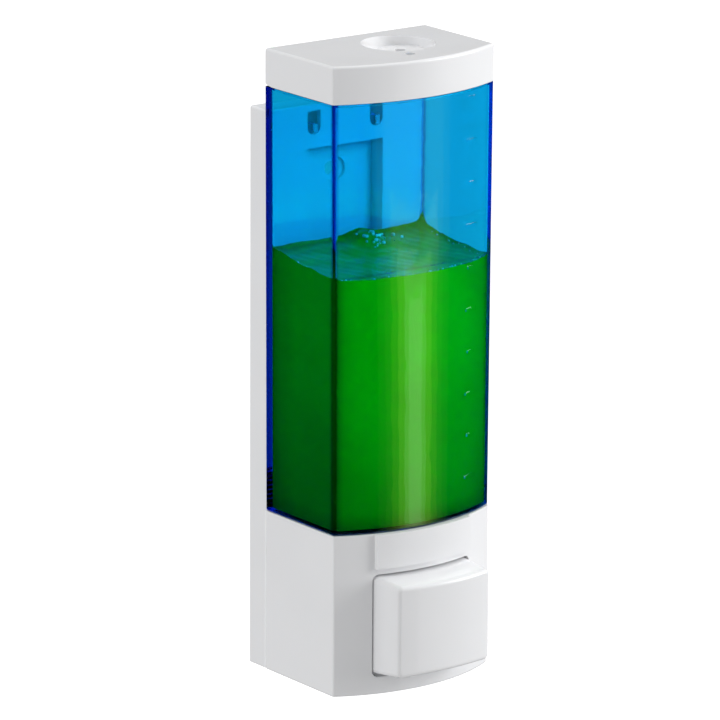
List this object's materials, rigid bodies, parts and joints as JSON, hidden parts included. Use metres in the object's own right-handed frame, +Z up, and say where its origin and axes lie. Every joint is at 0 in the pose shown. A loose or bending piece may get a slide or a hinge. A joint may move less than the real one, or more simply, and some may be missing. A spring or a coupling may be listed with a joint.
{
  "type": "wall mounted soap dispenser",
  "caption": "Wall mounted soap dispenser: clear blue tank of green gel on a white pump housing with a push button, hinged lid and screwed wall plate.",
  "frame": {"origin": "on the wall plane, midway between the two wall screw holes", "axes": "+X to the right seen from the front, +Y into the wall, +Z up"},
  "size_m": [0.065, 0.0669, 0.21],
  "materials": {
    "white_abs": "glossy moulded white ABS",
    "clear_blue": "clear blue moulded plastic",
    "green_soap": "translucent green gel",
    "seal_rubber": "black rubber",
    "silicone": "milky silicone",
    "pump_plastic": "natural acetal",
    "steel": "bright zinc and stainless steel"
  },
  "bodies": {
    "wall_plate": {"wall_plate": "white_abs"},
    "dispenser": {"tank": "clear_blue", "soap_gel": "green_soap", "tank_gasket": "seal_rubber", "tank_nut": "pump_plastic", "housing": "white_abs", "rear_cover": "white_abs", "rear_cover_screws": "steel", "lid_hinge_pins": "steel", "pump_body": "pump_plastic", "inlet_seat": "pump_plastic", "inlet_seal": "seal_rubber", "pump_screws": "steel", "outlet_valve": "silicone", "nozzle": "pump_plastic", "pump_end_cap": "pump_plastic", "return_spring": "steel"},
    "lid": {"lid": "white_abs", "bolt_cover": "pump_plastic", "bolt_cover_screws": "steel"},
    "lid_bolt": {"lid_bolt": "pump_plastic"},
    "button": {"button": "white_abs", "piston_rod": "pump_plastic", "piston_seal": "seal_rubber"},
    "inlet_ball": {"inlet_ball": "steel"}
  },
  "joints": [
    {"name": "body_lift", "type": "slide", "parent": "wall_plate", "child": "dispenser", "axis": [0, 0, 1], "range_m": [0, 0.004]},
    {"name": "lid_hinge", "type": "hinge", "parent": "dispenser", "child": "lid", "pos_m": [0, -0.0128, 0.0994], "axis": [-1, 0, 0], "range_deg": [0, 90]},
    {"name": "lid_bolt_slide", "type": "slide", "parent": "lid", "child": "lid_bolt", "axis": [0, -1, 0], "range_m": [0, 0.003]},
    {"name": "button_press", "type": "slide", "parent": "dispenser", "child": "button", "axis": [0, 1, 0], "range_m": [0, 0.008], "stiffness_N_per_m": 600, "springref_m": -0.006, "deforming": ["return_spring"]},
    {"name": "inlet_ball_lift", "type": "slide", "parent": "dispenser", "child": "inlet_ball", "axis": [0, 0, 1], "range_m": [0, 0.0014]}
  ]
}
